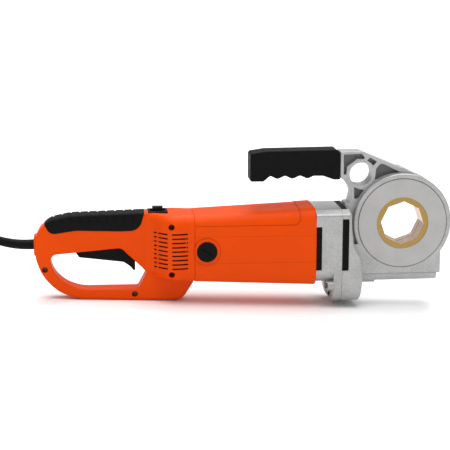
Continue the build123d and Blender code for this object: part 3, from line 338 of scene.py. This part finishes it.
def machined_aluminium():
    """Turned casting, with the dark line round the head's cover."""
    look = Look("machined_aluminium", linear(170, 169, 168), 0.42, 0.55)
    seat = look.line(look.away(look.tool_point(), HEAD_X, HEAD_Z), COVER_RADIUS, half_width=0.6)
    broad = look.mix(look.cloud(30, 3), linear(160, 159, 157), linear(178, 178, 178))
    skin = look.mix(0.5, look.mottle(1.6, 0.13, 5), broad)
    look.paint(look.shade(skin, seat, factor=0.4)).gloss(4, 0.06)
    return look.bump(look.noise(0.9, 3), 0.04)


def bronze():
    """Machined bronze; painted light makes the walls of the octagonal bore pinker and brighter."""
    look = Look("bronze", linear(160, 131, 76), 0.36, 0.8)
    # Painted light: walls that face across the bore get a brighter, pinker colour than the faces.
    lit_wall = look.math("LESS_THAN", look.sideways(), 0.5)
    bore = look.mix(look.cloud(5), linear(196, 168, 146), linear(222, 198, 180))
    look.paint(look.mix(lit_wall, look.mottle(4, 0.06), bore)).gloss(3, 0.06)
    return look.bump(look.noise(1.2, 2, (1, 6, 1)), 0.015)


def steel(name, colour, roughness, stretch):
    look = Look(name, colour, roughness, 0.9)
    look.paint(look.mottle(5, 0.08)).gloss(4, 0.06)
    return look.bump(look.noise(1.2, 2, stretch), 0.01)


def laminations():
    look = Look("lamination_steel", linear(120, 120, 124), 0.5, 0.7)
    return look.paint(look.mottle(3, 0.1)).bump(look.noise(1.0, 1, (3, 0.2, 0.2)), 0.05)


def copper():
    look = Look("copper", linear(178, 96, 52), 0.35, 0.8)
    return look.paint(look.mottle(2, 0.15)).bump(look.noise(1.2, 1, (0.3, 3, 3)), 0.15)


def brass():
    look = Look("brass", linear(196, 160, 86), 0.3, 0.9)
    return look.paint(look.mottle(4, 0.06)).bump(look.noise(0.8), 0.008)


def screw_steel():
    """Zinc-plated screws, coloured a dark reddish grey."""
    look = Look("screw_steel", linear(96, 76, 68), 0.42, 0.6)
    return look.paint(look.mottle(1.5, 0.2)).bump(look.noise(0.5), 0.02)


def matte(name, colour, roughness):
    look = Look(name, colour, roughness)
    return look.paint(look.mottle(2, 0.15)).bump(look.noise(0.6, 3), 0.03)


def strap_weave():
    look = Look("strap_weave", linear(24, 24, 25), 0.85)
    return look.paint(look.mottle(1.2, 0.25, 4)).bump(look.noise(0.5, 2), 0.12)


def make_materials():
    """The materials of the CAD's slots."""
    looks = {
        "orange_plastic": orange_plastic(),
        "grip_rubber": black_rubber("grip_rubber", 0.7),
        "black_plastic": black_plastic(),
        "cord_rubber": black_rubber("cord_rubber", 0.5),
        "cast_aluminium": cast_aluminium(),
        "machined_aluminium": machined_aluminium(),
        "bronze": bronze(),
        "gear_steel": steel("gear_steel", linear(150, 151, 154), 0.35, (0.3, 2, 2)),
        "screw_steel": screw_steel(),
        "bearing_steel": steel("bearing_steel", linear(190, 191, 194), 0.22, (0.3, 3, 3)),
        "lamination_steel": laminations(),
        "copper": copper(),
        "brass": brass(),
        "carbon": matte("carbon", linear(44, 44, 46), 0.55),
        "dark_plastic": matte("dark_plastic", linear(38, 38, 40), 0.5),
        "gasket_fibre": matte("gasket_fibre", linear(92, 88, 80), 0.85),
    }
    return {slot: look.material for slot, look in looks.items()}


def dress_cad_nodes(materials):
    """Gives every CAD node the material of its slot."""
    for row in frame["record"]["subparts"]:
        for slot in nodes[row["node"]].material_slots:
            slot.material = materials[row["material_slot"]]


# ---- meshes ------------------------------------------------------------------------------------
def bridge(build, rings):
    """Faces between each ring of corners and the next."""
    for near, far in zip(rings, rings[1:]):
        for i in range(len(near)):
            j = (i + 1) % len(near)
            build.faces.new((near[i], far[i], far[j], near[j]))


def finish_mesh(build, name, material):
    """The built mesh as an object of that name in the scene."""
    mesh = bpy.data.meshes.new(name)
    build.to_mesh(mesh)
    build.free()
    mesh.materials.append(material)
    piece = bpy.data.objects.new(name, mesh)
    bpy.context.scene.collection.objects.link(piece)
    return piece


# ---- supply cord, in the row frame -------------------------------------------------------------
CORD_DIAMETER = 10.0
BOOT_END = (-409.0, 14.2)  # X and Z in the tool frame
ROUTE_FALL = [
    (-445, 0, 103.9),
    (-484, -3, 96),
    (-514, -12, 66),
    (-537, -25, 30),
    (-566, -40, 5.2),
    (-606, -48.6, 5.2),
]
ROUTE_TAIL = [
    (-610, 95, 15.2),
    (-589, 95.3, 11),
    (-567, 96.5, 11.6),
    (-545, 97.5, 17.2),
    (-524, 97.5, 17.2),
]
COIL_X = -628.0
COIL_Y = 23.0
COIL_OUTER = 72.0
COIL_COLUMNS = 4
COIL_TURNS = 7.5
COIL_STEPS = 16
STEP_OVER = 0.25  # turns in which the cord moves to the next column
CLIMB = 0.5  # turns in which it rises to the upper layer
LAYER_Z = (5.2, 15.2)


def eased(value):
    value = min(1.0, max(0.0, value))
    return value * value * (3 - 2 * value)


def coil_turns():
    """Four turns inward on the floor, then outward again on top of them, clockwise from above."""
    points = []
    for i in range(int(COIL_TURNS * COIL_STEPS) + 1):
        turn = i / COIL_STEPS
        whole = int(turn)
        step_over = eased((turn - whole - 1 + STEP_OVER) / STEP_OVER)
        inward = turn < COIL_COLUMNS
        column = whole + step_over if inward else 2 * COIL_COLUMNS - 1 - whole - step_over
        column = min(column, COIL_COLUMNS - 1)
        climb = eased((turn - COIL_COLUMNS + CLIMB / 2) / CLIMB)
        radius = COIL_OUTER - column * CORD_DIAMETER
        angle = -pi / 2 - 2 * pi * turn
        height = LAYER_Z[0] + (LAYER_Z[1] - LAYER_Z[0]) * climb
        points.append((COIL_X + radius * cos(angle), COIL_Y + radius * sin(angle), height))
    return points


def make_cord(material, tie):
    start = place(BOOT_END[0], 0, BOOT_END[1])
    points = [start] + [Vector(p) * MM for p in ROUTE_FALL + coil_turns() + ROUTE_TAIL]
    curve = bpy.data.curves.new("supply_cord", "CURVE")
    curve.dimensions = "3D"
    curve.bevel_depth = CORD_DIAMETER / 2 * MM
    curve.bevel_resolution = 6
    curve.resolution_u = 8
    spline = curve.splines.new("NURBS")
    spline.points.add(len(points) - 1)
    for target, point in zip(spline.points, points):
        target.co = (*point, 1)
    spline.order_u = 3
    spline.use_endpoint_u = True
    curve.materials.append(material)
    cord = bpy.data.objects.new("supply_cord", curve)
    bpy.context.scene.collection.objects.link(cord)
    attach(cord, "body")
    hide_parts("power_cord", "cord_coil", "cord_tail")


# ---- strap round the coil ----------------------------------------------------------------------
TIE_ANGLE = radians(150)
TIE_WIDTH = 16.0
TIE_THICKNESS = 0.9
TIE_EDGE = 0.7 * TIE_THICKNESS  # thickness at the strap's rounded edges
TIE_BESIDE = 0.6  # clearance beside the coil's turns
TIE_ABOVE = 0.3  # clearance over them
TIE_UNDER = 0.1  # clearance off the floor
TIE_CORNER = 4.5  # inner radius of its four corners
TIE_CORNER_STEPS = 6
TIE_FLAT = 0.9  # share of the width that is flat, between the rounded edges
FLAP_START = 46.0  # from the coil's middle
FLAP_END = 66.0  # where its round nose starts
FLAP_NOSE = 5.0
FLAP_NOSE_STEPS = 8
FLAP_SHARE = 0.94  # the flap's width as a share of the strap's, and its top's as a share of its own
COIL_TOP = LAYER_Z[1] + CORD_DIAMETER / 2


def strap_point(radius, height, side):
    """A point at that radius from the coil's middle and that distance across the strap."""
    outward = Vector((cos(TIE_ANGLE), sin(TIE_ANGLE), 0))
    across = Vector((-outward.y, outward.x, 0))
    return (Vector((COIL_X, COIL_Y, height)) + outward * radius + across * side) * MM


def rounded_loop(grow):
    """Points round the coil's section as (radius, height), grow millimetres outside its turns."""
    inner = COIL_OUTER - (COIL_COLUMNS - 0.5) * CORD_DIAMETER - TIE_BESIDE + TIE_CORNER
    outer = COIL_OUTER + CORD_DIAMETER / 2 + TIE_BESIDE - TIE_CORNER
    low = TIE_THICKNESS + TIE_UNDER + TIE_CORNER
    high = COIL_TOP + TIE_ABOVE - TIE_CORNER
    points = []
    for quarter, (radius, height) in enumerate(((outer, high), (inner, high), (inner, low), (outer, low))):
        for step in range(TIE_CORNER_STEPS + 1):
            angle = pi / 2 * (quarter + step / TIE_CORNER_STEPS)
            reach = TIE_CORNER + grow
            points.append((radius + reach * cos(angle), height + reach * sin(angle)))
    return points


def add_band(build):
    """The strap's own run, once round the coil's section."""
    half = TIE_WIDTH / 2
    flat = TIE_FLAT * half
    profile = (
        (-half, 0),
        (-half, TIE_EDGE),
        (-flat, TIE_THICKNESS),
        (flat, TIE_THICKNESS),
        (half, TIE_EDGE),
        (half, 0),
    )
    loops = []
    for side, grow in profile:
        loops.append([build.verts.new(strap_point(r, h, side)) for r, h in rounded_loop(grow)])
    bridge(build, loops + loops[:1])


def add_flap(build):
    """The strap's round-nosed end, pressed down on top of it."""
    half = FLAP_SHARE * TIE_WIDTH / 2
    rim = [(FLAP_START, -half), (FLAP_START, half)]
    for step in range(FLAP_NOSE_STEPS + 1):
        angle = pi / 2 - pi * step / FLAP_NOSE_STEPS
        rim.append((FLAP_END + FLAP_NOSE * cos(angle), half * sin(angle)))
    bottom = COIL_TOP + TIE_ABOVE + TIE_THICKNESS
    rings = []
    for share, rise in ((1, 0), (1, TIE_EDGE), (FLAP_SHARE, TIE_THICKNESS)):
        rings.append([build.verts.new(strap_point(r, bottom + rise, side * share)) for r, side in rim])
    bridge(build, rings)
    build.faces.new(rings[0])
    build.faces.new(rings[-1])


def make_tie(material):
    """The hook-and-loop strap that holds the coil together."""
    build = bmesh.new()
    add_band(build)
    add_flap(build)
    bmesh.ops.recalc_face_normals(build, faces=build.faces)
    tie = finish_mesh(build, "cord_tie", material)
    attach(tie, "body")
    return tie


# ---- retaining ring in the socket --------------------------------------------------------------
RING_SIDES = 8
RING_INNER = 34.1  # half the distance across its flats
RING_OUTER = 35.1
RING_NEAR = -1.8
RING_FAR = -0.2
RING_TURN = radians(-3.5)


def make_retaining_ring(material):
    """The octagonal wire clip lying in the groove of the die-head socket."""
    build = bmesh.new()
    loops = []
    for flats, y in (
        (RING_INNER, RING_NEAR),
        (RING_OUTER, RING_NEAR),
        (RING_OUTER, RING_FAR),
        (RING_INNER, RING_FAR),
    ):
        reach = flats / cos(pi / RING_SIDES)
        loop = []
        for corner in range(RING_SIDES):
            angle = RING_TURN + corner * 2 * pi / RING_SIDES
            point = place(HEAD_X + reach * cos(angle), y, HEAD_Z + reach * sin(angle))
            loop.append(build.verts.new(point))
        loops.append(loop)
    bridge(build, loops + loops[:1])
    bmesh.ops.recalc_face_normals(build, faces=build.faces)
    ring = finish_mesh(build, "retaining_ring", material)
    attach(ring, "spindle")


# ---- floor and light ---------------------------------------------------------------------------
FLOOR_HALF = 30.0  # metres
FLOOR_DROP = 0.2  # below the object, so that the two never share a face
WORLD_STRENGTH = 0.46


def make_floor():
    look = Look("floor", (0.92, 0.92, 0.92, 1.0), 0.7)
    look.paint(look.mottle(400, 0.01))
    build = bmesh.new()
    bmesh.ops.create_grid(build, x_segments=4, y_segments=4, size=FLOOR_HALF)
    floor = finish_mesh(build, "floor", look.material)
    floor.location = (0, 0, cad_box[0].z - FLOOR_DROP * MM)


def soft_sun(name, azimuth, elevation, spread, strength):
    """Even light from one side of the studio; azimuth 0 is the camera's side, 90 the die head's."""
    data = bpy.data.lights.new(name, "SUN")
    data.angle = radians(spread)
    data.energy = strength
    light = bpy.data.objects.new(name, data)
    turn, rise = radians(azimuth), radians(elevation)
    source = Vector((sin(turn) * cos(rise), -cos(turn) * cos(rise), sin(rise)))
    light.rotation_mode = "QUATERNION"
    light.rotation_quaternion = (-source).to_track_quat("-Z", "Y")
    bpy.context.scene.collection.objects.link(light)


def make_light():
    scene = bpy.context.scene
    scene.view_settings.view_transform = "Standard"
    scene.world = bpy.data.worlds.new("studio")
    scene.world.use_nodes = True
    background = scene.world.node_tree.nodes["Background"]
    background.inputs["Color"].default_value = (1, 1, 1, 1)
    background.inputs["Strength"].default_value = WORLD_STRENGTH
    soft_sun("overhead", azimuth=-10, elevation=80, spread=46, strength=1.9)
    soft_sun("front", azimuth=-35, elevation=28, spread=70, strength=0.26)
    soft_sun("behind", azimuth=170, elevation=62, spread=40, strength=1.8)


make_camera()
materials = make_materials()
make_cord(materials["cord_rubber"], make_tie(strap_weave().material))
make_retaining_ring(steel("dark_spring_steel", linear(44, 40, 38), 0.45, (1, 1, 1)).material)
dress_cad_nodes(materials)
make_floor()
make_light()
